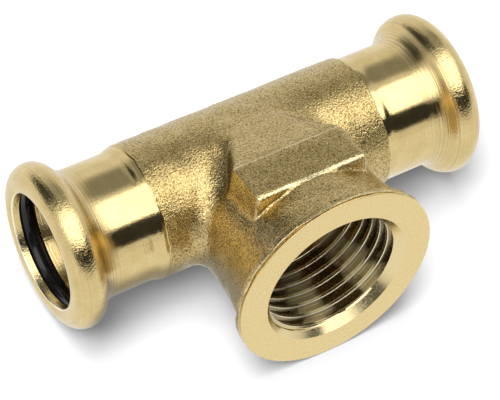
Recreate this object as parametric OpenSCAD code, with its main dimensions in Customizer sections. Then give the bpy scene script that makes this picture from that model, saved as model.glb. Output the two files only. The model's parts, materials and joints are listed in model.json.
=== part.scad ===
// Press fit tee with a female threaded branch, for 15 mm tube and a half inch parallel thread.
// One casting carries two press sockets in line and the branch at right angles to them.
// One sealing ring sits in the bead at the mouth of each socket.
// Millimetres, +Z up. The run lies along X and the branch points along -Y.
// The origin is the middle of the branch's machined face.

/* [Run] */
// Length of the run from socket face to socket face
run_length = 62; // [58:0.5:72]
// Outside diameter of the rough cast middle of the run
cast_d = 18.7; // [18.2:0.1:20]
// Length of the rough cast middle, between the turned sockets
cast_length = 33.6; // [32:0.2:35]
// Diameter of the narrow turned band beside the casting
band_d = 18.4; // [18:0.1:18.6]
// Width of the narrow turned band
band_width = 0.7; // [0.4:0.1:1.2]
// Length of the cone from the band down to the socket
band_cone = 0.8; // [0.4:0.1:1.2]

/* [Press sockets] */
// Outside diameter of the turned socket
socket_d = 17.8; // [17.4:0.1:18]
// Bore that takes the tube, 15 mm plus the sliding play
socket_bore_d = 15.2; // [15.1:0.05:15.5]
// Depth the tube goes in, from the socket face to the stop
socket_depth = 20; // [18:0.5:21]
// Diameter over the bead
bead_d = 22.9; // [22.5:0.1:24]
// Width of the bead along the tube
bead_width = 4.86; // [4.6:0.02:5.2]
// Radius of the fillet from the socket up to the bead
bead_fillet = 2; // [1.2:0.1:2.6]
// Diameter of the lip where it holds the sealing ring
lip_d = 15.9; // [15.6:0.1:16.2]
// Depth of the lip in front of the sealing ring
lip_depth = 1.1; // [0.9:0.05:1.3]
// How much the radius of the lip grows towards the mouth
lip_flare = 0.45; // [0.2:0.05:0.6]
// Diameter of the lead-in behind the sealing ring, at its wide end
lead_d = 16.8; // [16.2:0.1:17]
// Length of the lead-in from the sealing ring's groove to the tube bore
lead_length = 2.4; // [1.5:0.1:3]

/* [Sealing rings] */
// Inside diameter of a sealing ring
ring_inner_d = 15.1; // [14.9:0.05:15.2]
// Thickness of a sealing ring
ring_section = 2.5; // [2.2:0.05:2.6]
// Play of a sealing ring in its groove, on each side
ring_play = 0.03; // [0.02:0.01:0.08]

/* [Branch] */
// Distance from the run's axis to the machined face of the branch
branch_reach = 22.6; // [21.5:0.1:26]
// Diameter of the rim round the branch's face
flange_d = 28.7; // [28:0.1:31]
// Bevel between the rim and the machined face
face_bevel = 0.2; // [0.1:0.05:0.4]
// Thickness of the rim
flange_thickness = 1.7; // [1.2:0.1:2.5]
// Rounding of the rim's cast back edge
rim_round = 0.4; // [0.2:0.05:0.6]
// Diameter of the neck behind the rim
neck_front_d = 26.6; // [26:0.1:27.2]
// Diameter of the neck at the front of the wrench flats
neck_mid_d = 24.8; // [24.2:0.1:25]
// Width of the oval neck at the run's axis
neck_root_width = 23.8; // [22:0.1:24.4]
// Height of the oval neck at the run's axis
neck_root_height = 19.4; // [19:0.1:20.4]
// Radius of the cast fillets between the neck and the run
neck_fillet = 2.4; // [1:0.1:3]

/* [Thread] */
// Bore of the female thread, its minor diameter
thread_bore_d = 18.631; // [18.6:0.001:19]
// Length of the threaded bore from the face
thread_depth = 13.5; // [12:0.1:14]
// Diameter of the bevel at the mouth of the thread
thread_mouth_d = 20.7; // [20:0.1:21.5]
// Angle of that bevel from the axis
thread_mouth_angle = 42; // [30:1:60]

/* [Waterways] */
// Bore between the two tube stops
run_bore_d = 13.2; // [12:0.1:14]
// Bore from the bottom of the thread into the run
port_d = 12; // [10:0.1:12.8]
// Depth of the cone at the bottom of the thread
port_cone = 1.4; // [0.8:0.1:2]

/* [Wrench flats] */
// Distance across the two flats
across_flats = 25.1; // [24.8:0.1:26]
// Width of a flat along the run
flat_width = 15.9; // [14:0.1:17]
// Length of a flat along the branch
flat_length = 6.2; // [5:0.1:7]
// Distance from the machined face to the front of the flats
flat_setback = 7; // [6:0.1:8]
// Draft of the flanks of the flats, from vertical
flat_draft = 8; // [3:0.5:12]
// Bevel along the front edge of a flat
flat_bevel = 0.5; // [0.2:0.05:0.8]
// How far the ramps behind the flats dip under the top of the run
ramp_dip = 0.05; // [0.04:0.01:0.2]
// Angle at which the sides of a ramp draw in behind its flat
ramp_taper = 28; // [15:1:28]

/* [Hidden] */
$fn = 96;
// How far a cutter passes through the face it opens
past = 1;
// How far joined profiles reach into each other
overlap = 0.5;

// Half lengths and radii along the run
run_half = run_length / 2;
cast_half = cast_length / 2;
cast_r = cast_d / 2;
socket_r = socket_d / 2;
stop_x = run_half - socket_depth;

// Centre of the bead's round section, as radius and distance along the run
bead_round = bead_width / 2;
bead_r = bead_d / 2 - bead_round;
bead_x = run_half - bead_round;

// Centre of the fillet that touches the socket and the bead
fillet_r = socket_r + bead_fillet;
fillet_x = bead_x - sqrt(pow(bead_round + bead_fillet, 2) - pow(fillet_r - bead_r, 2));
// Point where the fillet touches the bead
touch_share = bead_round / (bead_round + bead_fillet);
touch_r = bead_r + touch_share * (fillet_r - bead_r);
touch_x = bead_x + touch_share * (fillet_x - bead_x);

// Centre of a sealing ring's section, and the half width of its groove
ring_r = (ring_inner_d + ring_section) / 2;
groove_half = ring_section / 2 + ring_play;
ring_x = run_half - lip_depth - groove_half;
// Inner end of the lead-in
lead_x = ring_x - groove_half - lead_length;

// Bevel at the mouth of the thread
thread_mouth_depth = (thread_mouth_d - thread_bore_d) / 2 / tan(thread_mouth_angle);

// The flats, measured from the run's axis
flat_z = across_flats / 2;
flat_front_y = flat_setback - branch_reach;
flat_back_y = flat_front_y + flat_length;

// The ramp leaves the back of the flat and touches a circle just under the top of the run
ramp_r = cast_r - ramp_dip;
ramp_angle = atan2(flat_z, flat_back_y) - acos(ramp_r / norm([flat_back_y, flat_z]));
ramp_end_y = ramp_r * cos(ramp_angle);
ramp_end_z = ramp_r * sin(ramp_angle);
ramp_start_y = -branch_reach - past;
ramp_start_z = ramp_end_z + (ramp_end_y - ramp_start_y) / tan(ramp_angle);

// Section of the bar that carries the flats, at some height and with its drafted sides drawn in
bar_belly = flat_width / 2 + flat_z * tan(flat_draft);
bar_end_y = ramp_end_y + overlap;
ramp_draw = (bar_end_y - flat_back_y) * tan(ramp_taper);
function bar_section(y, height, draw) =
    let (
        belly = bar_belly - draw,
        side = belly - height * tan(flat_draft)
    )
    [
        [side, y, height],
        [-side, y, height],
        [-belly, y, 0],
        [-side, y, -height],
        [side, y, -height],
        [belly, y, 0]
    ];

// The neck behind the front of the flats, oval at the run and round where it ends inside the front part
neck_sides = 48;
neck_step = 0.05;
neck_end_r = neck_mid_d / 2 - neck_step;
wide_slope = (neck_root_width / 2 - neck_end_r) / flat_front_y;
high_slope = (neck_root_height / 2 - neck_end_r) / flat_front_y;
function half_width(y) = neck_root_width / 2 - wide_slope * y;
function half_height(y) = neck_root_height / 2 - high_slope * y;
function oval(y) = [
    for (i = [0 : neck_sides - 1])
        let (angle = 360 * i / neck_sides)
        [half_width(y) * cos(angle), y, half_height(y) * sin(angle)]
];

// A cast fillet follows a ball that rolls along the valley between the neck and the run.
// The turn is the angle round the run from the branch's axis. The ball shrinks along the way
// until it is lost beside the ramp.
fillet_turn = 66;
fillet_last = 0.4;
fillet_dip = 0.1;
fillet_root = 0.8;
fillet_steps = 20;
fillet_sides = 6;
function ball(turn) = neck_fillet - (neck_fillet - fillet_last) * pow(turn / fillet_turn, 4);
// How far the ball's centre lies from the run and from the neck
function lift(turn) = ball(turn) - fillet_dip;
// Centre of the ball, on an oval that lies that far outside the neck
function ball_centre(turn) =
    let (
        y = -(cast_r + lift(turn)) * cos(turn),
        z = (cast_r + lift(turn)) * sin(turn),
        rise = z / (half_height(y) + lift(turn) * norm([1, high_slope]))
    )
    [(half_width(y) + lift(turn) * norm([1, wide_slope])) * sqrt(max(0, 1 - rise * rise)), y, z];
// Directions from the ball's centre square to the run and to the neck
function to_run(turn) = [0, cos(turn), -sin(turn)];
function to_neck(turn, centre) =
    let (
        wide = half_width(centre[1]) + lift(turn),
        high = half_height(centre[1]) + lift(turn),
        across = centre[0] / wide,
        rise = centre[2] / high,
        back = pow(across, 2) * wide_slope / wide + pow(rise, 2) * high_slope / high,
        square = [across / wide, back, rise / high]
    )
    -square / norm(square);
// Direction part of the way round the arc from one direction to another
function between(a, b, share) =
    let (angle = acos(a * b))
    (sin((1 - share) * angle) * a + sin(share * angle) * b) / sin(angle);
// Arc of the ball that shows, and one point in the metal behind it
function fillet_section(turn) =
    let (
        centre = ball_centre(turn),
        a = to_run(turn),
        b = to_neck(turn, centre),
        corner = ball(turn) / cos(acos(a * b) / 2) + fillet_root
    )
    concat(
        [for (i = [0 : fillet_sides]) centre + ball(turn) * between(a, b, i / fillet_sides)],
        [centre + corner * between(a, b, 0.5)]
    );

// Turns a profile of radius and distance into a solid about the run's axis
module about_run() {
    rotate([0, 90, 0])
        rotate_extrude()
            children();
}

// Turns a profile of radius and distance from the run's axis into a solid about the branch's axis
module about_branch() {
    rotate([90, 0, 0])
        rotate_extrude()
            children();
}

// Moves a thing built about the crossing of the axes to the origin at the branch's face
module from_branch_face() {
    translate([0, branch_reach, 0])
        children();
}

// Outside of one socket: band, turned tube, fillet and bead
module socket_profile() {
    polygon([
        [0, 0],
        [band_d / 2, 0],
        [band_d / 2, cast_half + band_width],
        [socket_r, cast_half + band_width + band_cone],
        [socket_r, bead_x],
        [0, bead_x]
    ]);
    // Front of the socket, up to the middle of the bead
    translate([0, bead_x - overlap])
        square([bead_r, bead_round + overlap]);
    translate([bead_r, bead_x])
        circle(r = bead_round);
    difference() {
        polygon([
            [socket_r - overlap, fillet_x],
            [socket_r, fillet_x],
            [touch_r, touch_x],
            [bead_r, bead_x],
            [socket_r - overlap, bead_x]
        ]);
        translate([fillet_r, fillet_x])
            circle(r = bead_fillet);
    }
}

module run_profile() {
    translate([0, -cast_half])
        square([cast_r, cast_length]);
    socket_profile();
    mirror([0, 1])
        socket_profile();
}

// Hollow of one socket: tube bore, lead-in, groove of the sealing ring and flared lip
module socket_hollow() {
    polygon([
        [0, stop_x],
        [socket_bore_d / 2, stop_x],
        [socket_bore_d / 2, lead_x],
        [lead_d / 2, ring_x - groove_half],
        [ring_r, ring_x - groove_half],
        [ring_r, ring_x + groove_half],
        [lip_d / 2, ring_x + groove_half],
        [lip_d / 2 + lip_flare, run_half],
        [lip_d / 2 + lip_flare, run_half + past],
        [0, run_half + past]
    ]);
    translate([ring_r, ring_x])
        circle(r = groove_half);
}

module run_hollow() {
    translate([0, -stop_x - past])
        square([run_bore_d / 2, 2 * (stop_x + past)]);
    socket_hollow();
    mirror([0, 1])
        socket_hollow();
}

// Outside of the branch in front of the flats: neck and rim
module branch_profile() {
    polygon([
        [0, -flat_front_y - overlap],
        [neck_mid_d / 2 - overlap / 2, -flat_front_y - overlap],
        [neck_mid_d / 2, -flat_front_y],
        [neck_front_d / 2, branch_reach - flange_thickness - rim_round],
        [flange_d / 2 - rim_round, branch_reach - flange_thickness],
        [flange_d / 2, branch_reach - flange_thickness + rim_round],
        [flange_d / 2, branch_reach - face_bevel],
        [flange_d / 2 - face_bevel, branch_reach],
        [0, branch_reach]
    ]);
}

// Hollow of the branch: mouth, threaded bore and the port into the run
module branch_hollow() {
    polygon([
        [0, 0],
        [port_d / 2, 0],
        [port_d / 2, branch_reach - thread_depth - port_cone],
        [thread_bore_d / 2, branch_reach - thread_depth],
        [thread_bore_d / 2, branch_reach - thread_mouth_depth],
        [thread_mouth_d / 2, branch_reach],
        [thread_mouth_d / 2, branch_reach + past],
        [0, branch_reach + past]
    ]);
}

// Solid through rings of points, with its sides left whole where they are planar
module loft(sections, planar = false) {
    count = len(sections[0]);
    last = len(sections) - 1;
    sides = [
        for (i = [0 : last - 1], j = [0 : count - 1])
            let (
                k = (j + 1) % count,
                near = i * count,
                far = near + count,
                quad = [near + j, near + k, far + k, far + j]
            )
            each planar ? [quad] : [[quad[0], quad[1], quad[2]], [quad[0], quad[2], quad[3]]]
    ];
    near_cap = [for (j = [count - 1 : -1 : 0]) j];
    far_cap = [for (j = [0 : count - 1]) last * count + j];
    polyhedron([for (section = sections) each section], concat(sides, [near_cap, far_cap]));
}

// Back of the neck, from the front of the flats to the end of the ramps
module oval_neck() {
    loft([oval(flat_front_y - overlap), oval(bar_end_y)]);
}

// Bar whose top and bottom are the two wrench flats, beveled in front and drawn in behind
module flats_bar() {
    loft(
        [
            bar_section(flat_front_y, flat_z - flat_bevel, 0),
            bar_section(flat_front_y + flat_bevel, flat_z, 0),
            bar_section(flat_back_y, flat_z, 0),
            bar_section(bar_end_y, flat_z, ramp_draw)
        ],
        planar = true
    );
}

// Wedge that slopes from the flats down to the run
module ramp_wedge() {
    translate([-flange_d, 0, 0])
        rotate([90, 0, 90])
            linear_extrude(2 * flange_d)
                polygon([
                    [ramp_start_y, ramp_start_z],
                    [ramp_start_y, -ramp_start_z],
                    [ramp_end_y, -ramp_end_z],
                    [ramp_end_y, ramp_end_z]
                ]);
}

// Fillet between the neck and the run on the side of +X
module neck_fillet_loft() {
    loft([
        for (i = [0 : fillet_steps])
            fillet_section(fillet_turn * (2 * i / fillet_steps - 1))
    ]);
}

// The casting with its machined sockets, face and bores
module tee_body() {
    color([0.78, 0.62, 0.3])
        from_branch_face()
            difference() {
                union() {
                    about_run()
                        run_profile();
                    intersection() {
                        union() {
                            about_branch()
                                branch_profile();
                            oval_neck();
                            flats_bar();
                        }
                        ramp_wedge();
                    }
                    neck_fillet_loft();
                    mirror([1, 0, 0])
                        neck_fillet_loft();
                }
                about_run()
                    run_hollow();
                about_branch()
                    branch_hollow();
            }
}

// A sealing ring at a distance along the run
module sealing_ring(x) {
    color([0.06, 0.06, 0.06])
        from_branch_face()
            translate([x, 0, 0])
                about_run()
                    translate([ring_r, 0])
                        circle(r = ring_section / 2);
}

module left_ring() {
    sealing_ring(-ring_x);
}

module right_ring() {
    sealing_ring(ring_x);
}

tee_body();
left_ring();
right_ring();
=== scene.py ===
import json
import math

import bmesh
import bpy
import numpy as np
from mathutils import Matrix, Vector


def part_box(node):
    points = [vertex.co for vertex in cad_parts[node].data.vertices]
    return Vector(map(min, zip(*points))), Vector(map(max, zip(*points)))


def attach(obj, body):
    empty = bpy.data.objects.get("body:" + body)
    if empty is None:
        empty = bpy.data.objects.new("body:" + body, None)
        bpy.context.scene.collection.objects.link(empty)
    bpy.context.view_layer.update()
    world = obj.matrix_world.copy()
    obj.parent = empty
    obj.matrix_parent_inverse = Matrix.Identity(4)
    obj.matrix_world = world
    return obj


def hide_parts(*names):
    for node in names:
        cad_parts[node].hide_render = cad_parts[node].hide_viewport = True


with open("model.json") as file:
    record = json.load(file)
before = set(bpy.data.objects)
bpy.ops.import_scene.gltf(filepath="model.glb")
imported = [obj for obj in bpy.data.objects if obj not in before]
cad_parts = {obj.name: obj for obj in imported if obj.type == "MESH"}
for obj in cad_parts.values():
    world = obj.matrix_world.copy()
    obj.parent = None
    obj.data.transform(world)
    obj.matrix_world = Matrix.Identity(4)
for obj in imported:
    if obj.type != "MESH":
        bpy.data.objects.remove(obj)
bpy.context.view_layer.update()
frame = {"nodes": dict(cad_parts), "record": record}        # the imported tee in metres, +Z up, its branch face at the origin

scene = bpy.context.scene
scene.view_settings.view_transform = "Standard"
scene.cycles.caustics_reflective = False
mm = 0.001               # shapes are worked out in millimetres about the crossing of the two axes

# Sizes that the frame already holds
mounts = {mount["name"]: mount for mount in frame["record"]["mounts"]}
bodyLow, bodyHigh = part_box("tee_body")
ringLow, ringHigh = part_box("right_ring")
runHalf = bodyHigh.x / mm
rimRadius = bodyHigh.z / mm
branchReach = mounts["right_socket"]["pos_m"][1] / mm
socketBore = mounts["right_socket"]["dims"]["r_mm"]
threadBore = mounts["branch_thread"]["dims"]["r_mm"]
flatHeight = mounts["top_flat"]["pos_m"][2] / mm
ringX = (ringLow.x + ringHigh.x) / 2 / mm
print("frame: run half", round(runHalf, 2), "mm, branch reach", round(branchReach, 2), "mm")


# Small tools for outlines and grids

def lineTo(start, end, count):
    # straight points from start towards end, with the end left out
    share = np.arange(count)[:, None] / count
    return np.array(start) * (1 - share) + np.array(end) * share


def arcTo(centre, radius, first, last, count):
    # points on a circle from one angle to another in degrees, with the last left out
    angle = np.radians(first + (last - first) * np.arange(count) / count)
    return np.stack([centre[0] + radius * np.cos(angle), centre[1] + radius * np.sin(angle)], 1)


def easeStep(value):
    # 0 below 0, 1 above 1 and a smooth S between
    value = np.clip(value, 0, 1)
    return value * value * (3 - 2 * value)


def roundJoin(a, b, radius):
    # two distances joined, the inner corner filled by a round of that radius
    corner = np.hypot(np.maximum(radius - a, 0), np.maximum(radius - b, 0))
    return np.maximum(radius, np.minimum(a, b)) - corner


def roundCut(a, b, radius):
    # the common part of two distances, its outer edge rounded to that radius
    corner = np.hypot(np.maximum(radius + a, 0), np.maximum(radius + b, 0))
    return np.minimum(-radius, np.maximum(a, b)) + corner


def gridFaces(rows, columns, start):
    # quads of a grid whose points are stored row after row from index start
    index = start + np.arange(rows * columns).reshape(rows, columns)
    corners = [index[:-1, :-1], index[:-1, 1:], index[1:, 1:], index[1:, :-1]]
    return np.stack([corner.ravel() for corner in corners], 1)


# The tee's body: a casting with turned sockets and a threaded branch, as one closed skin

teeForm = dict(
    castRadius=9.35, castHalf=16.8,            # rough middle of the run
    castChamfer=(0.08, 0.06), castStep=0.1,    # how it ends beside a socket
    bandRadius=9.2, farBand=9.0, bandWidth=0.7, bandCone=0.8,
    socketRadius=8.9, tubeStop=11.0,
    beadRadius=11.45, beadWidth=4.86, beadFillet=2.8,
    lipCurl=22.0, lipEdge=0.06, lipRadius=7.78,
    leadRadius=8.4, leadLength=2.4, grooveHalf=1.28, ringCentre=8.8,
    neckWide=11.9, neckHigh=9.7, neckMid=12.4, neckFront=13.3, neckEnd=20.5,
    flatFront=15.6, flatBack=9.4, flatSide=7.95, flatDraft=8.0,
    rampEnd=2.67, rampEndHeight=8.9, rampTaper=28.0, rampSoften=2.0,
    blendTurns=(48, 56, 63, 72, 90), blendWidths=(0.6, 1.0, 3.0, 6.0, 8.0),
    blendSides=(6.0, 6.0, 5.6, 5.2, 5.0), blendStart=48, blendRise=8, blendEnd=115,
    filletTurns=(0, 45, 70, 95), filletSizes=(2.4, 1.8, 1.2, 0.3),
    padEdge=0.3, padFront=0.75, padCorner=0.45, padRidge=0.3, rampEdge=1.4,
    rimBack=20.3, rimNotch=22.12,
    mouthRadius=10.35, mouthAngle=40.0,
    crestFlat=0.25, crestRound=0.03, flankWidth=0.67,      # in half pitches
    threadPitch=1.814, threadRoot=10.4775, threadPhase=0.15, threadTurns=7, threadFade=0.8,
    threadDepth=13.5, threadStart=0.45, threadLead=1.1,
    portRadius=6.0, portCone=1.4, runBore=6.6,
)
rimForm = dict(
    foot=(20.55, 13.34), hollow=(20.42, 13.94), hollowRound=0.6, hollowTurn=(-78, -25),
    step=((20.97, 13.69), (21.08, 14.02)),
    shoulder=(21.42, 13.98), shoulderRound=0.37, shoulderTurn=(160, 90),
    notchRound=0.14, grooveBack=0.06, grooveDeep=0.5, grooveFront=0.24, frontDrop=0.08,
    edgeRound=0.12, edgeDrop=0.05,
    castStart=0.6, castPast=0.12, castEnd=0.3, sway=2.6, swayDrop=0.04,      # where and how far it is uneven
    notchReach=0.5, notchSway=0.8, notchTurn=0.4,
)
teeGrid = dict(
    backColumns=64, sideColumns=80, cornerTurn=45.0,   # columns along the back seam and round a socket
    runRows=28, rampRows=24, flatRows=16, frontRows=8, neckRows=12, faceRows=6,
    machinedRows=(2, 2, 4),                            # rows of the machined edge in front of the groove
    rowCrowd=0.85, flatShare=0.25, frontGap=0.2, topTurn=36.0, halvings=30,
    threadSteps=(0.06, 0.105, 0.118, 0.132, 0.15, 0.22, 0.30, 0.38, 0.46),   # rows beside a crest, in pitches
    portRows=4, waterRows=10,
    settleRounds=14, settleShare=0.5, settleSteps=2, lastSteps=6,
    weldGap=1e-7, sharpAngle=34,                       # in metres and degrees
)
castWaves = dict(
    count=14, shortest=2.2, longest=8.0, height=0.011, fade=1.5, seed=11,
    edge=0.14, edgeTurn=1.7,                           # waves of the ragged edge: lobes, height, phase
    edgeWaves=((3, 0.5, 0.7), (7, 0.35, 2.1), (13, 0.3, 4.0), (22, 0.25, 1.3), (31, 0.18, 5.2)),
)

form = teeForm
grid = teeGrid
cornerTurn = math.radians(grid["cornerTurn"])


def columnShare(count):
    # equal steps from 0 towards 1, with the 1 left out
    return np.arange(count) / count


# One column leaves the branch at each turn about its axis, from +Z towards +X. It ends on the seam
# along the back of the run or on the edge of a socket, at an angle round the run from the branch.
backShare = columnShare(grid["backColumns"])
sideShare = columnShare(grid["sideColumns"])
sideSweep = math.pi - 2 * cornerTurn
turn = np.concatenate([
    -cornerTurn + 2 * cornerTurn * backShare,
    cornerTurn + sideSweep * sideShare,
    math.pi - cornerTurn + 2 * cornerTurn * backShare,
    math.pi + cornerTurn + sideSweep * sideShare,
])
edgeAngle = np.concatenate([
    np.full(len(backShare), math.pi),
    math.pi - 2 * math.pi * sideShare,
    np.full(len(backShare), -math.pi),
    -math.pi + 2 * math.pi * sideShare,
])
edgeSide = np.concatenate([
    2 * backShare - 1,
    np.ones(len(sideShare)),
    1 - 2 * backShare,
    -np.ones(len(sideShare)),
])
columns = len(turn)


def ragged(angle, side):
    # how far the edge of the cast skin strays along the run, periodic round it
    shift = castWaves["edgeTurn"] * side
    waves = castWaves["edgeWaves"]
    total = sum(height * np.sin(lobes * angle + phase + shift) for lobes, height, phase in waves)
    return castWaves["edge"] * total


def castEdge(angle, side):
    # distance along the run at which the cast skin ends
    return form["castHalf"] + ragged(angle, side)


def castRipple(points):
    # sum of slow waves in space, the unevenness of a sand casting
    random = np.random.default_rng(castWaves["seed"])
    total = np.zeros(points.shape[:-1])
    for length in np.geomspace(castWaves["shortest"], castWaves["longest"], castWaves["count"]):
        heading = random.normal(size=3)
        heading = heading / np.linalg.norm(heading)
        phase = random.uniform(0, 2 * math.pi)
        total += castWaves["height"] * np.sin(points @ heading * 2 * math.pi / length + phase)
    return total


draftLean = math.tan(math.radians(form["flatDraft"]))
draftSquare = math.cos(math.radians(form["flatDraft"]))
taperLean = math.tan(math.radians(form["rampTaper"]))
rampSlope = (flatHeight - form["rampEndHeight"]) / (form["flatBack"] + form["rampEnd"])
rampReach = (flatHeight - form["flatBack"] * rampSlope) / math.hypot(1, rampSlope)
rampHeading = math.pi / 2 + math.atan(rampSlope)


def neckRadius(out):
    # half width and half height of the neck at a distance out: oval at the run, round from the flats on
    stations = [0, form["flatFront"], form["neckEnd"]]
    wide = np.interp(out, stations, [form["neckWide"], form["neckMid"], form["neckFront"]])
    high = np.interp(out, stations, [form["neckHigh"], form["neckMid"], form["neckFront"]])
    return wide, high


def rampBlend(x, out, z):
    # height over the run of a ramp whose sides sink into it along a soft S, wider towards the back
    around = np.arctan2(np.abs(z), out)
    degrees = np.degrees(around)
    least = 0.2            # keeps the far sides of the two planes finite
    plane = rampReach / np.maximum(np.cos(around - rampHeading), least)
    top = flatHeight / np.maximum(np.sin(around), least)
    lift = np.maximum(np.minimum(plane, top) - form["castRadius"], 0) * (degrees < form["blendEnd"])
    width = np.interp(degrees, form["blendTurns"], form["blendWidths"])
    side = np.interp(degrees, form["blendTurns"], form["blendSides"])
    share = easeStep((side - np.abs(x)) / width + 0.5)
    share = share * easeStep((degrees - form["blendStart"]) / form["blendRise"])
    return np.hypot(out, z) - form["castRadius"] - lift * share


def castDistance(points):
    # distance to the casting: the run, joined by a rolling fillet to the neck with its two wrench
    # pads, whose backs ramp down to the run
    x, y, z = np.moveaxis(points, -1, 0)
    out = -y
    run = np.hypot(y, z) - form["castRadius"]
    wide, high = neckRadius(out)
    oval = np.hypot(x / wide, z / high)
    neck = (oval - 1) * oval / np.maximum(np.hypot(x / wide ** 2, z / high ** 2), 1e-6)
    top = np.abs(z) - flatHeight
    behind = np.maximum(form["flatBack"] - out, 0)
    ramp = (top - (out - form["flatBack"]) * rampSlope) / math.hypot(1, rampSlope)
    flank = (np.abs(x) - form["flatSide"] + top * draftLean + behind * taperLean) * draftSquare
    edge = form["padEdge"] + (form["rampEdge"] - form["padEdge"]) * easeStep(behind / form["rampSoften"])
    pad = roundCut(roundCut(top, ramp, form["padRidge"]), out - form["flatFront"], form["padFront"])
    pad = roundCut(pad, flank, edge)
    branch = roundJoin(roundCut(neck, ramp, form["rampEdge"]), pad, form["padCorner"])
    branch = np.maximum(branch, -out - form["rampEnd"])
    around = np.degrees(np.arctan2(np.abs(z), out))
    joined = roundJoin(run, branch, np.interp(around, form["filletTurns"], form["filletSizes"]))
    return np.minimum(joined, rampBlend(x, out, z))


def castSlope(points):
    # gradient of the distance, by differences along the three axes
    step = 0.002
    here = castDistance(points)
    slopes = [(castDistance(points + step * axis) - here) / step for axis in np.eye(3)]
    return here, np.stack(slopes, -1)


def ontoCast(points, rounds):
    # walks points down the gradient until they lie on the casting
    longest = 0.6          # most that one round closes of the distance
    flattest = 0.2         # least square of the gradient that a step is divided by
    for _ in range(rounds):
        here, slope = castSlope(points)
        steep = np.maximum((slope * slope).sum(-1), flattest)
        points = points - (np.clip(here, -longest, longest) / steep)[..., None] * slope
    return points


def onRun(x, angle, radius):
    # point on a cylinder about the run, at an angle from the branch
    parts = np.broadcast_arrays(x, -radius * np.cos(angle), radius * np.sin(angle))
    return np.stack(parts, -1)


def onBranch(out, radius, about):
    # point about the branch's axis, at a distance out from the run's axis
    parts = np.broadcast_arrays(radius * np.sin(about), -out, radius * np.cos(about))
    return np.stack(parts, -1)


def padRadius(out):
    # distance from the branch's axis to the neck or its pads, for each column
    side = np.abs(np.sin(turn))
    rise = np.maximum(np.abs(np.cos(turn)), 1e-6)
    narrow = taperLean * np.maximum(form["flatBack"] - out, 0)
    bar = (form["flatSide"] + flatHeight * draftLean - narrow) / (side + rise * draftLean)
    bar = np.minimum(bar, flatHeight / rise)
    wide, high = neckRadius(out)
    neck = 1 / np.hypot(side / wide, rise / high)
    pad = np.where(out < form["flatFront"], np.maximum(neck, bar), neck)
    return np.minimum(pad, (flatHeight + (out - form["flatBack"]) * rampSlope) / rise)


def footOut():
    # where each column passes from the run to the neck, found by halving an interval
    low = np.zeros(columns)
    high = np.full(columns, form["castRadius"])
    for _ in range(grid["halvings"]):
        middle = (low + high) / 2
        outside = (padRadius(middle) * np.cos(turn)) ** 2 + middle ** 2 > form["castRadius"] ** 2
        high = np.where(outside, middle, high)
        low = np.where(outside, low, middle)
    steep = np.abs(np.cos(turn))
    cornerSteep = math.cos(cornerTurn)
    topSteep = math.cos(math.radians(grid["topTurn"]))
    onTop = easeStep((steep - cornerSteep) / (topSteep - cornerSteep))
    return low * (1 - onTop) - form["rampEnd"] * onTop


def castRows():
    # rows from the seam and socket edges over the run, up the neck or over a pad, to the rim
    sideEdge = np.sign(edgeSide) * castEdge(edgeAngle, np.sign(edgeSide))
    seamLow = -castEdge(math.pi, -1.0)
    seamHigh = castEdge(math.pi, 1.0)
    alongSeam = seamLow + (seamHigh - seamLow) * (edgeSide + 1) / 2
    edgeX = np.where(np.abs(np.abs(edgeAngle) - math.pi) < 1e-9, alongSeam, sideEdge)
    foot = footOut()
    footRadius = padRadius(foot)
    footX = footRadius * np.sin(turn)
    footAngle = np.arctan2(footRadius * np.cos(turn), foot)
    share = np.linspace(0, 1, grid["runRows"] + 1)[:-1, None] ** grid["rowCrowd"]
    runPart = onRun(
        edgeX * (1 - share) + footX * share,
        edgeAngle * (1 - share) + footAngle * share,
        form["castRadius"],
    )
    padFront = form["flatFront"] - grid["frontGap"]
    neckFront = form["flatFront"] + grid["frontGap"]
    padBack = np.maximum(form["flatBack"], foot + grid["flatShare"] * (padFront - foot))
    stretches = [
        (foot, padBack, grid["rampRows"]),
        (padBack, np.full(columns, padFront), grid["flatRows"]),
    ]
    parts = [runPart]
    for start, end, count in stretches:
        share = columnShare(count)[:, None]
        out = start * (1 - share) + end * share
        parts.append(onBranch(out, np.stack([padRadius(row) for row in out]), turn))
    share = columnShare(grid["frontRows"])[:, None]
    drop = padRadius(np.full(columns, padFront)) * (1 - share) + neckRadius(neckFront)[0] * share
    parts.append(onBranch(padFront * (1 - share) + neckFront * share, drop, turn))
    share = np.linspace(0, 1, grid["neckRows"] + 1)[:, None]
    out = neckFront * (1 - share) + form["rimBack"] * share + 0 * turn
    parts.append(onBranch(out, neckRadius(out)[0], turn))
    return np.concatenate(parts)


def settleCast(points):
    # evens the grid out and brings it back to the casting, with the first and last rows kept
    for _ in range(grid["settleRounds"]):
        beside = (np.roll(points, 1, 1) + np.roll(points, -1, 1))[1:-1]
        mean = (beside + points[:-2] + points[2:]) / 4
        points[1:-1] += grid["settleShare"] * (mean - points[1:-1])
        points[1:-1] = ontoCast(points[1:-1], grid["settleSteps"])
    points[1:-1] = ontoCast(points[1:-1], grid["lastSteps"])
    slope = castSlope(points)[1]
    toEdge = (form["castHalf"] - np.abs(points[..., 0])) / castWaves["fade"]
    toRim = (form["rimBack"] + points[..., 1]) / castWaves["fade"]
    fade = easeStep(toEdge) * easeStep(toRim)
    fade[[0, -1]] = 0
    return points + (castRipple(points) * fade)[..., None] * slope


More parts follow.
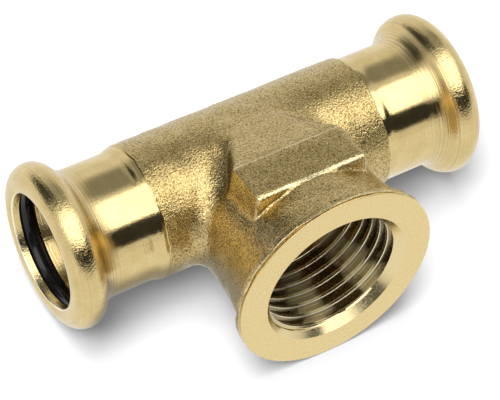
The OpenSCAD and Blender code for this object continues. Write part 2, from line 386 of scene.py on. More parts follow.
def rimOutline():
    # rim from the neck to the mouth, as distance out and radius: hollow, shoulder, notch, groove and face
    rim = rimForm
    neckFoot = (form["rimBack"], neckRadius(form["rimBack"])[0])
    notch = form["rimNotch"]
    notchRound = rim["notchRound"]
    shoulderOut = rim["shoulder"][0]
    grooveFoot = (notch + rim["grooveBack"], rimRadius - rim["grooveDeep"])
    grooveTop = (notch + rim["grooveFront"], rimRadius - rim["frontDrop"])
    edge = rim["edgeRound"]
    edgeTop = rimRadius - rim["edgeDrop"]
    edgeFoot = edgeTop - edge
    wallRows, bandRows, roundRows = grid["machinedRows"]
    return np.concatenate([
        lineTo(neckFoot, rim["foot"], 2),
        arcTo(rim["hollow"], rim["hollowRound"], *rim["hollowTurn"], 5),
        lineTo(*rim["step"], 2),
        arcTo(rim["shoulder"], rim["shoulderRound"], *rim["shoulderTurn"], 5),
        lineTo((shoulderOut, rimRadius), (notch - notchRound, rimRadius), 4),
        arcTo((notch - notchRound, rimRadius - notchRound), notchRound, 90, 10, 3),
        lineTo((notch, rimRadius - notchRound), grooveFoot, 1),
        lineTo(grooveFoot, grooveTop, wallRows),
        lineTo(grooveTop, (branchReach - edge, edgeTop), bandRows),
        arcTo((branchReach - edge, edgeFoot), edge, 90, 0, roundRows),
        lineTo((branchReach, edgeFoot), (branchReach, form["mouthRadius"]), grid["faceRows"]),
    ])


def rimRows():
    # the rim's outline turned about the branch, uneven where it is cast
    rim = rimForm
    outline = rimOutline()
    along = outline[:, 0]
    out = outline[:, :1] + 0 * turn
    radius = outline[:, 1:] + 0 * turn
    cast = easeStep((along - form["rimBack"]) / rim["castStart"])
    cast = cast * easeStep((form["rimNotch"] + rim["castPast"] - along) / rim["castEnd"])
    sway = rim["sway"] * castRipple(onBranch(out, radius, turn)) - rim["swayDrop"]
    radius = radius + cast[:, None] * np.minimum(sway, 0.0)
    notch = easeStep(1 - np.abs(along - form["rimNotch"]) / rim["notchReach"])
    out = out + rim["notchSway"] * notch[:, None] * ragged(turn, rim["notchTurn"])
    return onBranch(out, radius, turn)


def threadShape(cycle):
    # share of the thread's depth, 0 on a flat crest and 1 in a root, with straight flanks between
    fromCrest = np.abs((cycle + 0.5) % 1 - 0.5) * 2 - form["crestFlat"]
    flank = (fromCrest + np.hypot(fromCrest, form["crestRound"])) / 2
    return np.minimum(flank / form["flankWidth"], 1)


def threadRows():
    # rows that follow the helix, with a wedge of rows at each end, so that a turn starts and ends level
    pitch = form["threadPitch"]
    turns = form["threadTurns"] - 1
    about = np.append(turn, turn[0] + 2 * math.pi)
    wound = (about - about[0]) / (2 * math.pi)
    beside = np.array(grid["threadSteps"])
    step = np.sort(np.concatenate([[0], (form["threadPhase"] + np.concatenate([-beside, beside])) % 1]))
    step = step[np.append(True, np.diff(step) > 1e-6)]
    lead = step[:, None] * wound
    middle = wound + (np.arange(turns)[:, None] + step).reshape(-1, 1)
    last = turns + wound + (1 - wound) * np.append(step, 1)[:, None]
    depth = pitch * np.concatenate([lead, middle, last])
    cut = (form["threadRoot"] - threadBore) * threadShape(depth / pitch - wound - form["threadPhase"])
    fade = easeStep((form["threadTurns"] - depth / pitch) / form["threadFade"])
    fade = fade * easeStep((depth - form["threadStart"]) / form["threadLead"])
    cone = form["mouthRadius"] - depth * math.tan(math.radians(form["mouthAngle"]))
    radius = np.maximum(threadBore + cut * fade, cone)
    return onBranch(branchReach - depth, radius, about), depth[-1, 0]


def portRows(threadEnd):
    # plain bore behind the thread, cone, port, and the run's waterway out to the tube stops
    boreEnd = branchReach - form["threadDepth"]
    coneEnd = boreEnd - form["portCone"]
    share = columnShare(grid["portRows"])[:, None]
    bore = onBranch((branchReach - threadEnd) * (1 - share) + boreEnd * share + 0 * turn, threadBore, turn)
    coneRadius = threadBore * (1 - share) + form["portRadius"] * share
    cone = onBranch(boreEnd * (1 - share) + coneEnd * share + 0 * turn, coneRadius, turn)
    rise = form["portRadius"] * np.cos(turn)
    meet = np.sqrt(form["runBore"] ** 2 - rise ** 2)
    port = onBranch(coneEnd * (1 - share) + meet * share, form["portRadius"], turn)
    share = np.linspace(0, 1, grid["waterRows"] + 1)[:, None]
    water = onRun(
        form["portRadius"] * np.sin(turn) * (1 - share) + form["tubeStop"] * edgeSide * share,
        np.arctan2(rise, meet) * (1 - share) + edgeAngle * share,
        form["runBore"],
    )
    return np.concatenate([bore, cone, port, water])


lipX = runHalf - form["beadWidth"] / 2 * (1 - math.cos(math.radians(form["lipCurl"])))
lipTop = form["beadRadius"] - form["beadWidth"] / 2 * (1 + math.sin(math.radians(form["lipCurl"])))


def socketOutline(band):
    # turned socket from the cast edge to the tube stop, as distance along the run and radius
    beadRound = form["beadWidth"] / 2
    beadX = runHalf - beadRound
    beadCentre = form["beadRadius"] - beadRound
    filletCentre = form["socketRadius"] + form["beadFillet"]
    reach = beadRound + form["beadFillet"]
    filletX = beadX - math.sqrt(reach ** 2 - (filletCentre - beadCentre) ** 2)
    lean = math.degrees(math.atan2(filletCentre - beadCentre, filletX - beadX))
    bandEnd = form["castHalf"] + form["bandWidth"]
    coneEnd = bandEnd + form["bandCone"]
    half = form["grooveHalf"]
    edge = form["lipEdge"]
    leadEnd = ringX - half - form["leadLength"]
    castX, castTop = form["castHalf"], form["castRadius"]
    chamferEnd = (castX + form["castChamfer"][0], castTop - form["castChamfer"][1])
    return np.concatenate([
        lineTo((castX, castTop), chamferEnd, 1),
        lineTo(chamferEnd, (castX + form["castStep"], band), 1),
        lineTo((castX + form["castStep"], band), (bandEnd, band), 2),
        lineTo((bandEnd, band), (coneEnd, form["socketRadius"]), 3),
        lineTo((coneEnd, form["socketRadius"]), (filletX, form["socketRadius"]), 8),
        arcTo((filletX, filletCentre), form["beadFillet"], -90, lean - 180, 9),
        arcTo((beadX, beadCentre), beadRound, lean, -form["lipCurl"], 32),
        lineTo((lipX, lipTop), (lipX - edge, lipTop - edge), 1),
        lineTo((lipX - edge, lipTop - edge), (ringX + half, form["lipRadius"]), 4),
        lineTo((ringX + half, form["lipRadius"]), (ringX + half, form["ringCentre"]), 2),
        arcTo((ringX, form["ringCentre"]), half, 0, 180, 12),
        lineTo((ringX - half, form["ringCentre"]), (ringX - half, form["leadRadius"]), 2),
        lineTo((ringX - half, form["leadRadius"]), (leadEnd, socketBore), 4),
        lineTo((leadEnd, socketBore), (form["tubeStop"], socketBore), 10),
        lineTo((form["tubeStop"], socketBore), (form["tubeStop"], form["runBore"]), 2),
        [(form["tubeStop"], form["runBore"])],
    ])


def socketRows(side):
    # the socket's outline turned about the run; its first rows follow the ragged cast edge
    band = form["bandRadius"] if side < 0 else form["farBand"]
    outline = socketOutline(band)
    angle = math.pi - 2 * math.pi * np.arange(grid["sideColumns"] + 1) / grid["sideColumns"]
    settled = 0.3          # length over which the ragged edge dies away
    rawEdge = 1 - easeStep((outline[:, :1] - form["castHalf"] - form["castStep"]) / settled)
    rawEdge = np.where(outline[:, 1:] < band - 1e-6, 0, rawEdge)
    x = outline[:, :1] + rawEdge * ragged(angle, side)
    return onRun(side * x, angle + 0 * x, outline[:, 1:] + 0 * angle)


def closeColumns(points):
    # repeats the first column at the end, so that the grid closes on itself
    return np.concatenate([points, points[:, :1]], 1)


def buildSkin(name, parts):
    # joins the grids, merges the points that they share and turns the faces outwards
    points = []
    faces = []
    finish = []
    count = 0
    for rows, slot in parts:
        points.append(rows.reshape(-1, 3))
        faces.append(gridFaces(rows.shape[0], rows.shape[1], count))
        finish.append(np.full(len(faces[-1]), slot))
        count += rows.shape[0] * rows.shape[1]
    points = (np.concatenate(points) + np.array([0, branchReach, 0])) * mm
    faces = np.concatenate(faces)
    mesh = bpy.data.meshes.new(name)
    mesh.vertices.add(len(points))
    mesh.vertices.foreach_set("co", points.ravel())
    mesh.loops.add(faces.size)
    mesh.loops.foreach_set("vertex_index", faces.ravel())
    mesh.polygons.add(len(faces))
    mesh.polygons.foreach_set("loop_start", np.arange(0, faces.size, 4))
    mesh.polygons.foreach_set("material_index", np.concatenate(finish))
    mesh.update(calc_edges=True)
    skin = bmesh.new()
    skin.from_mesh(mesh)
    bmesh.ops.remove_doubles(skin, verts=skin.verts, dist=grid["weldGap"])
    bmesh.ops.recalc_face_normals(skin, faces=skin.faces)
    openEdges = sum(1 for edge in skin.edges if len(edge.link_faces) != 2)
    skin.to_mesh(mesh)
    skin.free()
    mesh.polygons.foreach_set("use_smooth", np.ones(len(mesh.polygons), bool))
    mesh.set_sharp_from_angle(angle=math.radians(grid["sharpAngle"]))
    piece = bpy.data.objects.new(name, mesh)
    scene.collection.objects.link(piece)
    print(name, len(mesh.vertices), "points,", len(mesh.polygons), "faces, open edges", openEdges)
    return piece


castSlot, turnedSlot, facedSlot, threadSlot = range(4)
threadPart, threadEnd = threadRows()
rimPart = rimRows()
faceStart = len(rimPart) - grid["faceRows"] - sum(grid["machinedRows"])
mouthRow = onBranch(branchReach + 0 * turn, form["mouthRadius"], turn)[None]
teeBody = buildSkin("teeBody", [
    (closeColumns(settleCast(castRows())), castSlot),
    (closeColumns(rimPart[:faceStart + 1]), castSlot),
    (closeColumns(np.concatenate([rimPart[faceStart:], mouthRow])), facedSlot),
    (threadPart, threadSlot),
    (closeColumns(portRows(threadEnd)), turnedSlot),
    (socketRows(1.0), turnedSlot),
    (socketRows(-1.0), turnedSlot),
])


# Materials

def newMaterial(name):
    material = bpy.data.materials.new(name)
    material.use_nodes = True
    material.node_tree.nodes.clear()
    return material, material.node_tree


def addNode(tree, kind, links=None, **settings):
    # a node with its settings; links holds values or sockets for its inputs, by name or number
    node = tree.nodes.new(kind)
    for key, value in settings.items():
        setattr(node, key, value)
    for key, value in (links or {}).items():
        if isinstance(value, bpy.types.NodeSocket):
            tree.links.new(value, node.inputs[key])
        else:
            node.inputs[key].default_value = value
    return node


def inMillimetres(tree):
    # object coordinates in millimetres about the crossing of the axes
    place = addNode(tree, "ShaderNodeTexCoord")
    return addNode(tree, "ShaderNodeMapping", {
        "Vector": place.outputs["Object"],
        "Scale": (1 / mm, 1 / mm, 1 / mm),
        "Location": (0, -branchReach, 0),
    }).outputs[0]


def noiseAt(tree, place, scale, detail, rough):
    return addNode(tree, "ShaderNodeTexNoise", {
        "Vector": place, "Scale": scale, "Detail": detail, "Roughness": rough,
    }).outputs["Fac"]


def linesAlong(tree, value, scale, detail, rough):
    # noise along one number, which draws lines across it
    return addNode(tree, "ShaderNodeTexNoise", {
        "W": value, "Scale": scale, "Detail": detail, "Roughness": rough,
    }, noise_dimensions="1D").outputs["Fac"]


def mathOf(tree, operation, first, second=0.0):
    return addNode(tree, "ShaderNodeMath", {0: first, 1: second}, operation=operation).outputs[0]


def productOf(tree, first, second):
    return mathOf(tree, "MULTIPLY", first, second)


def awayFrom(tree, value, centre):
    return mathOf(tree, "ABSOLUTE", mathOf(tree, "SUBTRACT", value, centre))


def axesOf(tree, place):
    return addNode(tree, "ShaderNodeSeparateXYZ", {0: place}).outputs


def lengthOf(tree, place, across):
    # distance from an axis, the one that across gives as 0
    flat = addNode(tree, "ShaderNodeMapping", {"Vector": place, "Scale": across}).outputs[0]
    return addNode(tree, "ShaderNodeVectorMath", {0: flat}, operation="LENGTH").outputs["Value"]


def mapRange(tree, value, low, high, start, end, kind="LINEAR"):
    return addNode(tree, "ShaderNodeMapRange", {
        "Value": value, "From Min": low, "From Max": high, "To Min": start, "To Max": end,
    }, interpolation_type=kind).outputs[0]


def mixColour(tree, share, first, second):
    node = addNode(tree, "ShaderNodeMix", data_type="RGBA")
    for socket, value in ((node.inputs[0], share), (node.inputs[6], first), (node.inputs[7], second)):
        if isinstance(value, bpy.types.NodeSocket):
            tree.links.new(value, socket)
        elif hasattr(value, "__len__"):
            socket.default_value = (*value, 1)
        else:
            socket.default_value = value
    return node.outputs[2]


def bumpOf(tree, height, distance, below=None):
    links = {"Height": height, "Distance": distance * mm, "Strength": 1.0}
    if below is not None:
        links["Normal"] = below
    return addNode(tree, "ShaderNodeBump", links).outputs[0]


def finishMetal(material, tree, colour, rough, normal, metallic=1.0):
    surface = addNode(tree, "ShaderNodeBsdfPrincipled", {
        "Base Color": colour, "Metallic": metallic, "Roughness": rough, "Normal": normal,
    })
    output = addNode(tree, "ShaderNodeOutputMaterial")
    tree.links.new(surface.outputs[0], output.inputs["Surface"])
    return material


# In the looks below a noise is its scale, detail and roughness, and a range maps two values to two others

castLook = dict(
    pale=(0.575, 0.435, 0.182), deep=(0.475, 0.345, 0.13), pit=(0.20, 0.138, 0.048),
    peak=(0.78, 0.615, 0.295), wornAndGlint=(0.95, 0.83, 0.52),
    # neck is a paler tone painted on the neck's sides and pad ends, a painted reflection; neckReach and
    # neckDepth place it
    neck=(0.65, 0.515, 0.29), neckReach=(6.5, 9.5, 0, 0.75), neckDepth=(-9.3, -11.0, 0, 1),
    grain=(3.4, 2.0, 0.55), fine=(5.0, 2.0, 0.6), blotch=(0.28, 3.0, 0.6), grainDepth=0.085, fineDepth=0.04,
    blotchRange=(0.35, 0.65, 0, 1), pitRange=(0.36, 0.52, 0.9, 0), peakRange=(0.50, 0.63, 0, 0.95),
    roughRange=(0.3, 0.7, 0.30, 0.18),
    # edges of the pad's ridge, its front and the rim take one light tone: wear and a painted highlight
    topFrom=0.4, topTo=0.2, ridgeWearAndGlint=(0.06, 0.2, 0.75, 0), frontWearAndGlint=(0.15, 0.4, 0.9, 0), frontBack=0.3,
    padBreaks=(0.38, 0.52, 0.3, 0.9),
    rimBehind=0.1, rimWearAndGlint=(0.08, 0.25, 1, 0), rimBreaks=(0.38, 0.56, 0.1, 0.6),
)


def castBrass(look):
    # sand cast skin: pebbled grain, blotches of tone, darker pits, brighter rubbed peaks, a paler painted
    # reflection on the neck's sides, and worn edges lightened also as a painted highlight
    material, tree = newMaterial("castBrass")
    place = inMillimetres(tree)
    axes = axesOf(tree, place)
    grain = noiseAt(tree, place, *look["grain"])
    fine = noiseAt(tree, place, *look["fine"])
    blotch = noiseAt(tree, place, *look["blotch"])
    tone = mixColour(tree, mapRange(tree, blotch, *look["blotchRange"]), look["pale"], look["deep"])
    # painted reflection: a paler tone on the neck's sides and pad ends
    aside = mapRange(tree, mathOf(tree, "ABSOLUTE", axes["X"]), *look["neckReach"], "SMOOTHSTEP")
    onNeck = mapRange(tree, axes["Y"], *look["neckDepth"], "SMOOTHSTEP")
    tone = mixColour(tree, productOf(tree, aside, onNeck), tone, look["neck"])
    tone = mixColour(tree, mapRange(tree, grain, *look["pitRange"]), tone, look["pit"])
    tone = mixColour(tree, mapRange(tree, fine, *look["peakRange"]), tone, look["peak"])
    # pad ridge, pad front edge and rim edge lightened: wear and a painted highlight
    height = mathOf(tree, "ABSOLUTE", axes["Z"])
    onTop = mapRange(tree, height, flatHeight - look["topFrom"], flatHeight - look["topTo"], 0, 1)
    fromRidge = awayFrom(tree, axes["Y"], -teeForm["flatBack"])
    fromFront = awayFrom(tree, axes["Y"], look["frontBack"] - teeForm["flatFront"])
    fromRim = awayFrom(tree, axes["Y"], look["rimBehind"] - teeForm["rimNotch"])
    ridge = mapRange(tree, fromRidge, *look["ridgeWearAndGlint"])
    edge = mathOf(tree, "MAXIMUM", ridge, mapRange(tree, fromFront, *look["frontWearAndGlint"]))
    edge = productOf(tree, edge, productOf(tree, onTop, mapRange(tree, fine, *look["padBreaks"])))
    rim = productOf(
        tree, mapRange(tree, fromRim, *look["rimWearAndGlint"]), mapRange(tree, blotch, *look["rimBreaks"]),
    )
    tone = mixColour(tree, mathOf(tree, "MAXIMUM", edge, rim), tone, look["wornAndGlint"])
    rough = mapRange(tree, fine, *look["roughRange"])
    normal = bumpOf(tree, grain, look["grainDepth"])
    normal = bumpOf(tree, fine, look["fineDepth"], below=normal)
    return finishMetal(material, tree, tone, rough, normal)


turnedLook = dict(
    # the worn tone and the lip values paint a bright line on the lip: wear and a painted highlight
    pale=(0.77, 0.61, 0.29), deep=(0.70, 0.535, 0.238), tool=(0.52, 0.405, 0.21), wornAndGlint=(0.97, 0.91, 0.68),
    lines=(4.5, 3.0, 0.65), lineDepth=0.005, filletLines=0.05, lineRange=(0.36, 0.54, 0.8, 0), lineLeast=0.15,
    speck=(5.2, 2.0, 0.6), speckDepth=0.008, beadSpeck=0.020, speckRange=(0.34, 0.5, 0.4, 0),
    pebble=(2.6, 2.0, 0.55), pebbleDepth=0.034, blotch=(0.35, 2.0, 0.5), blotchRange=(0.35, 0.65, 0, 1),
    roughRange=(0.3, 0.7, 0.075, 0.13),
    filletStart=23.0, filletEnd=24.4, crownStart=26.4, crownEnd=27.6, crownLines=0.3,
    lipUnder=0.02, lipWearAndGlint=(0.04, 0.12, 1, 0), lipFrom=0.3, lipTo=0.1,
)


def turnedBrass(look):
    # bright turned brass: tool lines round the run, deep in the fillet, a grain on the bead, a worn mouth
    # edge that is also a painted highlight line
    material, tree = newMaterial("turnedBrass")
    place = inMillimetres(tree)
    reach = mathOf(tree, "ABSOLUTE", axesOf(tree, place)["X"])
    radius = lengthOf(tree, place, (0, 1, 1))
    nearBead = mapRange(tree, reach, look["filletStart"], look["filletEnd"], 0, 1, "SMOOTHSTEP")
    onCrown = mapRange(tree, reach, look["crownStart"], look["crownEnd"], 0, 1, "SMOOTHSTEP")
    inFillet = productOf(tree, nearBead, mapRange(tree, onCrown, 0, 1, 1, look["crownLines"]))
    lines = linesAlong(tree, reach, *look["lines"])
    speck = noiseAt(tree, place, *look["speck"])
    pebble = noiseAt(tree, place, *look["pebble"])
    blotch = noiseAt(tree, place, *look["blotch"])
    tone = mixColour(tree, mapRange(tree, blotch, *look["blotchRange"]), look["pale"], look["deep"])
    cut = mapRange(tree, lines, *look["lineRange"])
    cut = productOf(tree, cut, mapRange(tree, inFillet, 0, 1, look["lineLeast"], 1))
    tone = mixColour(tree, cut, tone, look["tool"])
    tone = mixColour(tree, mapRange(tree, speck, *look["speckRange"]), tone, look["tool"])
    # thin bright line on the lip at the mouth: wear and a painted highlight
    onLip = mapRange(tree, awayFrom(tree, radius, lipTop - look["lipUnder"]), *look["lipWearAndGlint"])
    atMouth = mapRange(tree, reach, lipX - look["lipFrom"], lipX - look["lipTo"], 0, 1)
    tone = mixColour(tree, productOf(tree, onLip, atMouth), tone, look["wornAndGlint"])
    rough = mapRange(tree, speck, *look["roughRange"])
    lineHeight = mapRange(tree, inFillet, 0, 1, look["lineDepth"], look["filletLines"])
    speckHeight = mapRange(tree, nearBead, 0, 1, look["speckDepth"], look["beadSpeck"])
    normal = bumpOf(tree, productOf(tree, lines, lineHeight), 1.0)
    normal = bumpOf(tree, productOf(tree, speck, speckHeight), 1.0, below=normal)
    normal = bumpOf(tree, productOf(tree, pebble, onCrown), look["pebbleDepth"], below=normal)
    return finishMetal(material, tree, tone, rough, normal)


facedLook = dict(
    pale=(0.82, 0.65, 0.32), deep=(0.79, 0.615, 0.29), rings=(6.0, 3.0, 0.7), ringDepth=0.003,
    speck=(3.0, 3.0, 0.6), speckRange=(0.35, 0.65, 0, 1), roughRange=(0.3, 0.7, 0.24, 0.32),
)


def facedBrass(look):
    # face turned flat: fine rings about the branch
    material, tree = newMaterial("facedBrass")
    place = inMillimetres(tree)
    rings = linesAlong(tree, lengthOf(tree, place, (1, 0, 1)), *look["rings"])
    speck = noiseAt(tree, place, *look["speck"])
    tone = mixColour(tree, mapRange(tree, speck, *look["speckRange"]), look["pale"], look["deep"])
    rough = mapRange(tree, speck, *look["roughRange"])
    return finishMetal(material, tree, tone, rough, bumpOf(tree, rings, look["ringDepth"]))


threadLook = dict(
    # the crest, gold and root tones are painted: highlights on crest edges and roots, and strips of painted
    # reflection
    crestGlint=(0.97, 0.92, 0.70), glintGold=(1.0, 0.83, 0.36), dark=(0.55, 0.46, 0.29), deep=(0.34, 0.275, 0.17),
    root=(0.90, 0.82, 0.56), mouth=(0.80, 0.66, 0.36),
    speck=(4.0, 2.0, 0.6), roughRange=(0.3, 0.7, 0.16, 0.28), paintedGlint=0.25,
    edgeCore=0.01, edgeWidth=0.035, rootWidth=0.05, rootShare=0.8,        # in pitches
    lines=(4.0, 2.0, 0.6), lineDepth=0.05, lineRange=(0.44, 0.56, 0.9, 0), mouthLines=0.02,
    strips=7, stripTurn=-4.0, stripMiddle=22.0, stripSpread=(30.0, 75.0, 1, 0.2),      # in degrees
    stripRange=(-0.5, 0.9, 0, 1),
    waver=(0.5, 2.0, 0.5), waverRange=(0.3, 0.7, -0.7, 0.7), chamferEnd=1.1, chamferFade=0.5,
)


def threadBrass(look):
    # cut thread: painted highlights on crest edges and roots, brown flanks, gold strips of painted
    # reflection, lines along the helix
    material, tree = newMaterial("threadBrass")
    place = inMillimetres(tree)
    axes = axesOf(tree, place)
    depth = mathOf(tree, "ADD", axes["Y"], branchReach)
    chamferPast = look["chamferEnd"] + look["chamferFade"]
    inside = mapRange(tree, depth, look["chamferEnd"], chamferPast, 0, 1, "SMOOTHSTEP")
    wound = mathOf(tree, "DIVIDE", mathOf(tree, "ARCTAN2", axes["X"], axes["Z"]), 2 * math.pi)
    wound = mathOf(tree, "ADD", wound, cornerTurn / (2 * math.pi) + teeForm["threadPhase"])
    cycle = mathOf(tree, "SUBTRACT", mathOf(tree, "DIVIDE", depth, teeForm["threadPitch"]), wound)
    cycle = mathOf(tree, "FRACT", cycle)
    lines = linesAlong(tree, cycle, *look["lines"])
    speck = noiseAt(tree, place, *look["speck"])
    waver = noiseAt(tree, place, *look["waver"])
    # painted reflection: gold strips at fixed turns round the branch, where the flanks would mirror bright
    # light
    fromFoot = mathOf(tree, "ARCTAN2", axes["X"], productOf(tree, axes["Z"], -1.0))
    fromFoot = productOf(tree, fromFoot, 180 / math.pi)
    wave = mathOf(tree, "SUBTRACT", fromFoot, look["stripTurn"])
    wave = productOf(tree, wave, math.radians(look["strips"]))
    wave = mathOf(tree, "COSINE", mathOf(tree, "ADD", wave, mapRange(tree, waver, *look["waverRange"])))
    spread = mapRange(tree, awayFrom(tree, fromFoot, look["stripMiddle"]), *look["stripSpread"])
    strip = productOf(tree, mapRange(tree, wave, *look["stripRange"], "SMOOTHSTEP"), spread)
    tone = mixColour(tree, strip, look["dark"], look["glintGold"])
    tone = mixColour(tree, mapRange(tree, lines, *look["lineRange"]), tone, look["deep"])
    # painted highlight: a bright tone on both edges of each crest
    fromCrest = mathOf(tree, "PINGPONG", cycle, 0.5)
    fromEdge = awayFrom(tree, fromCrest, teeForm["crestFlat"] / 2)
    onEdge = mapRange(tree, fromEdge, look["edgeCore"], look["edgeWidth"], 1, 0, "SMOOTHSTEP")
    tone = mixColour(tree, onEdge, tone, look["crestGlint"])
    # painted highlight: a paler tone in each root
    inRoot = mapRange(tree, fromCrest, 0.5 - look["rootWidth"], 0.5, 0, look["rootShare"], "SMOOTHSTEP")
    tone = mixColour(tree, inRoot, tone, look["root"])
    tone = mixColour(tree, inside, look["mouth"], tone)
    rough = mapRange(tree, speck, *look["roughRange"])
    height = productOf(tree, lines, mapRange(tree, inside, 0, 1, look["mouthLines"], 1.0))
    # the painted reflection strips and the painted roots are made partly non-metallic
    paintedGlint = productOf(tree, mathOf(tree, "MAXIMUM", strip, inRoot), inside)
    metallic = mapRange(tree, paintedGlint, 0, 1, 1.0, look["paintedGlint"])
    return finishMetal(material, tree, tone, rough, bumpOf(tree, height, look["lineDepth"]), metallic)


rubberLook = dict(
    base=(0.004, 0.004, 0.0045), dust=(0.010, 0.010, 0.011),
    bloom=(0.9, 3.0, 0.6), bloomRange=(0.4, 0.7, 0, 1), roughRange=(0.35, 0.65, 0.10, 0.18),
    grain=(8.0, 2.0, 0.5), grainDepth=0.002, gloss=0.35,
)


def sealRubber(look):
    # black moulded rubber with a faint bloom and a soft gloss
    material, tree = newMaterial("sealRubber")
    place = inMillimetres(tree)
    bloom = noiseAt(tree, place, *look["bloom"])
    grain = noiseAt(tree, place, *look["grain"])
    tone = mixColour(tree, mapRange(tree, bloom, *look["bloomRange"]), look["base"], look["dust"])
    surface = addNode(tree, "ShaderNodeBsdfPrincipled", {
        "Base Color": tone,
        "Roughness": mapRange(tree, bloom, *look["roughRange"]),
        "Normal": bumpOf(tree, grain, look["grainDepth"]),
        "Specular IOR Level": look["gloss"],
    })
    output = addNode(tree, "ShaderNodeOutputMaterial")
    tree.links.new(surface.outputs[0], output.inputs["Surface"])
    return material


finishes = (
    (castBrass, castLook), (turnedBrass, turnedLook), (facedBrass, facedLook), (threadBrass, threadLook),
)
for make, look in finishes:
    teeBody.data.materials.append(make(look))
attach(teeBody, "root")
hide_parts("tee_body")

rubber = sealRubber(rubberLook)
for ringName in ("left_ring", "right_ring"):
    ring = frame["nodes"][ringName]
    for slot in ring.material_slots:
        slot.material = rubber
print("materials made")


# Stage: a pale floor that touches the rim and both beads, a wide soft light overhead and the room

stageLook = dict(
    floorHalf=2.5, floorTone=(0.80, 0.80, 0.80), floorGlow=0.15, floorMirror=0.96,
    # the under values paint a shadow into the floor as mirrors see it, below the left socket
    paintedUnderShade=0.6, underPlace=(-19.0, -5.0), underAcross=(5, 12, 1, 0), underAlong=(4, 16, 1, 0),   # in mm
    softHeight=0.80, softLow=(-1.55, -0.95), softHigh=(0.75, 0.02), softGlow=2.3,
    lamps=(("keyLamp", 2.1, 30.0, (-0.44, -0.30, 0.865)), ("topLamp", 1.9, 34.0, (-0.12, 0.05, 1.0))),
    ambient=0.26, roomGlow=0.86, darkGlow=0.04,
    # dark parts of the room: azimuth, range of its cosine, then the lower and upper rise with soft edges
    darks=(
        (0, (0.42, 0.58, 0, 1), (0.09, 0.03, 0.72, 0.05)),
        (-138, (0.84, 0.94, 0, 0.97), (0.16, 0.10, 0.95, 0.05)),
        (138, (0.84, 0.96, 0, 0.68), (0.56, 0.12, 0.97, 0.03)),
    ),
    topDark=(180, (0.2, 0.5, 0, 0.52), (0.5, 0.8, 0, 1)),
)


def flatQuad(name, corners):
    mesh = bpy.data.meshes.new(name)
    mesh.from_pydata(corners, [], [(0, 1, 2, 3)])
    piece = bpy.data.objects.new(name, mesh)
    scene.collection.objects.link(piece)
    return piece


def lightPath(tree):
    # 1 for rays from the camera, and 1 for those off shiny or through clear surfaces
    path = addNode(tree, "ShaderNodeLightPath")
    mirrored = mathOf(tree, "MAXIMUM", path.outputs["Is Glossy Ray"], path.outputs["Is Transmission Ray"])
    return path.outputs["Is Camera Ray"], mirrored


def makeFloor(look):
    # plane through the lowest points of the rim and the beads, with a painted shadow below the left socket in
    # what mirrors see
    rest = math.atan2(rimRadius - teeForm["beadRadius"], branchReach)
    half = look["floorHalf"]
    square = ((-half, -half), (half, -half), (half, half), (-half, half))
    corners = [(x, y * math.cos(rest), bodyLow.z + y * math.sin(rest)) for x, y in square]
    floor = flatQuad("floor", corners)
    material, tree = newMaterial("paleFloor")
    seen, mirrored = lightPath(tree)
    matt = addNode(tree, "ShaderNodeBsdfDiffuse", {
        "Color": mixColour(tree, mirrored, look["floorTone"], (0, 0, 0)),
    })
    # painted shadow: mirrors see the floor darker below the left socket
    axes = axesOf(tree, inMillimetres(tree))
    underX, underY = look["underPlace"]
    across = mapRange(tree, awayFrom(tree, axes["X"], underX), *look["underAcross"], "SMOOTHSTEP")
    along = mapRange(tree, awayFrom(tree, axes["Y"], underY), *look["underAlong"], "SMOOTHSTEP")
    underMirror = look["floorMirror"] * (1 - look["paintedUnderShade"])
    mirror = mapRange(tree, productOf(tree, along, across), 0, 1, look["floorMirror"], underMirror)
    shown = productOf(tree, seen, look["floorGlow"])
    glow = addNode(tree, "ShaderNodeEmission", {
        "Strength": mathOf(tree, "ADD", shown, productOf(tree, mirrored, mirror)),
    })
    both = addNode(tree, "ShaderNodeAddShader", {0: matt.outputs[0], 1: glow.outputs[0]})
    output = addNode(tree, "ShaderNodeOutputMaterial")
    tree.links.new(both.outputs[0], output.inputs["Surface"])
    material.cycles.emission_sampling = "NONE"
    floor.data.materials.append(material)


def makeSoftbox(look):
    # wide lit panel overhead, which the turned brass mirrors
    (x0, y0), (x1, y1) = look["softLow"], look["softHigh"]
    height = look["softHeight"]
    panel = flatQuad("softbox", [(x0, y1, height), (x1, y1, height), (x1, y0, height), (x0, y0, height)])
    material, tree = newMaterial("softboxCloth")
    glow = addNode(tree, "ShaderNodeEmission", {"Strength": look["softGlow"]})
    output = addNode(tree, "ShaderNodeOutputMaterial")
    tree.links.new(glow.outputs[0], output.inputs["Surface"])
    panel.data.materials.append(material)
    panel.visible_camera = False
    panel.visible_diffuse = False
    panel.visible_shadow = False


def makeLamps(look):
    # soft suns for the floor and its shadow: one from beside the camera, one from above
    for name, energy, angle, source in look["lamps"]:
        lamp = bpy.data.lights.new(name, "SUN")
        lamp.energy = energy
        lamp.angle = math.radians(angle)
        sun = bpy.data.objects.new(name, lamp)
        sun.rotation_euler = Vector(source).to_track_quat("Z", "Y").to_euler()
        sun.visible_glossy = False
        scene.collection.objects.link(sun)


def within(tree, value, low, lowSoft, high, highSoft):
    # 1 between low and high, with soft edges of the given widths
    rise = mapRange(tree, value, low - lowSoft, low + lowSoft, 0, 1, "SMOOTHSTEP")
    fall = mapRange(tree, value, high - highSoft, high + highSoft, 1, 0, "SMOOTHSTEP")
    return productOf(tree, rise, fall)


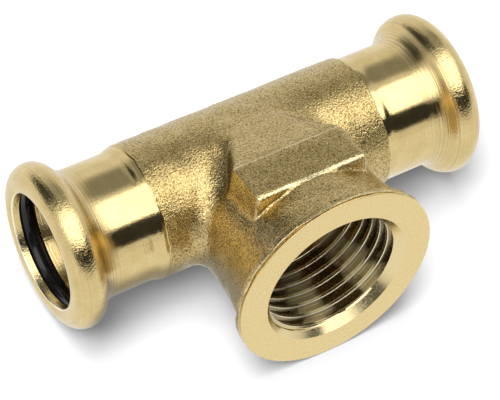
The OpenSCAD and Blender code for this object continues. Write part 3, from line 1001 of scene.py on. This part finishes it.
def makeRoom(look):
    # white to the camera; shiny metal also mirrors a dark front, dark back corners and a dark top
    world = bpy.data.worlds.new("room")
    world.use_nodes = True
    tree = world.node_tree
    tree.nodes.clear()
    heading = addNode(tree, "ShaderNodeTexCoord").outputs["Generated"]
    level = addNode(tree, "ShaderNodeVectorMath", {0: heading, 1: (1, 1, 0)}, operation="MULTIPLY")
    level = addNode(tree, "ShaderNodeVectorMath", {0: level.outputs[0]}, operation="NORMALIZE").outputs[0]
    rise = axesOf(tree, heading)["Z"]

    def facing(azimuth, span):
        # share of darkness by the cosine of the angle from an azimuth that runs from -Y towards +X
        towards = (math.sin(math.radians(azimuth)), -math.cos(math.radians(azimuth)), 0)
        cosine = addNode(tree, "ShaderNodeVectorMath", {0: level, 1: towards}, operation="DOT_PRODUCT")
        return mapRange(tree, cosine.outputs["Value"], *span, "SMOOTHSTEP")

    azimuth, span, rises = look["topDark"]
    dark = productOf(tree, facing(azimuth, span), mapRange(tree, rise, *rises, "SMOOTHSTEP"))
    for azimuth, span, rises in look["darks"]:
        corner = productOf(tree, facing(azimuth, span), within(tree, rise, *rises))
        dark = mathOf(tree, "MAXIMUM", dark, corner)
    studio = mapRange(tree, dark, 0, 1, look["roomGlow"], look["darkGlow"])
    seen, mirrored = lightPath(tree)
    other = mathOf(tree, "SUBTRACT", 1.0, mathOf(tree, "MAXIMUM", seen, mirrored))
    strength = mathOf(tree, "ADD", seen, productOf(tree, mirrored, studio))
    strength = mathOf(tree, "ADD", strength, productOf(tree, other, look["ambient"]))
    background = addNode(tree, "ShaderNodeBackground", {"Color": (1, 1, 1, 1), "Strength": strength})
    output = addNode(tree, "ShaderNodeOutputWorld")
    tree.links.new(background.outputs[0], output.inputs["Surface"])
    world.cycles.sampling_method = "NONE"
    scene.world = world


makeFloor(stageLook)
makeSoftbox(stageLook)
makeLamps(stageLook)
makeRoom(stageLook)
print("stage and light made")


# Camera at the photograph's angle, for an image of 500 by 400

cameraView = dict(
    aim=(-1.151, 19.494, -2.958), azimuth=-33.126, elevation=47.527, roll=2.962,
    distance=311.154, lens=168.108, sensor=36.0,
)


def makeCamera(look):
    azimuth = math.radians(look["azimuth"])
    elevation = math.radians(look["elevation"])
    level = math.cos(elevation)
    back = Vector((math.sin(azimuth) * level, -math.cos(azimuth) * level, math.sin(elevation)))
    right = Vector((math.cos(azimuth), math.sin(azimuth), 0))
    axes = Matrix((right, back.cross(right), back)).transposed()
    axes = axes @ Matrix.Rotation(math.radians(look["roll"]), 3, "Z")
    lens = bpy.data.cameras.new("camera")
    lens.lens = look["lens"]
    lens.sensor_width = look["sensor"]
    lens.clip_start = 0.01
    camera = bpy.data.objects.new("camera", lens)
    place = (Vector(look["aim"]) + back * look["distance"]) * mm
    camera.matrix_world = Matrix.Translation(place) @ axes.to_4x4()
    scene.collection.objects.link(camera)
    scene.camera = camera


makeCamera(cameraView)
print("camera made")
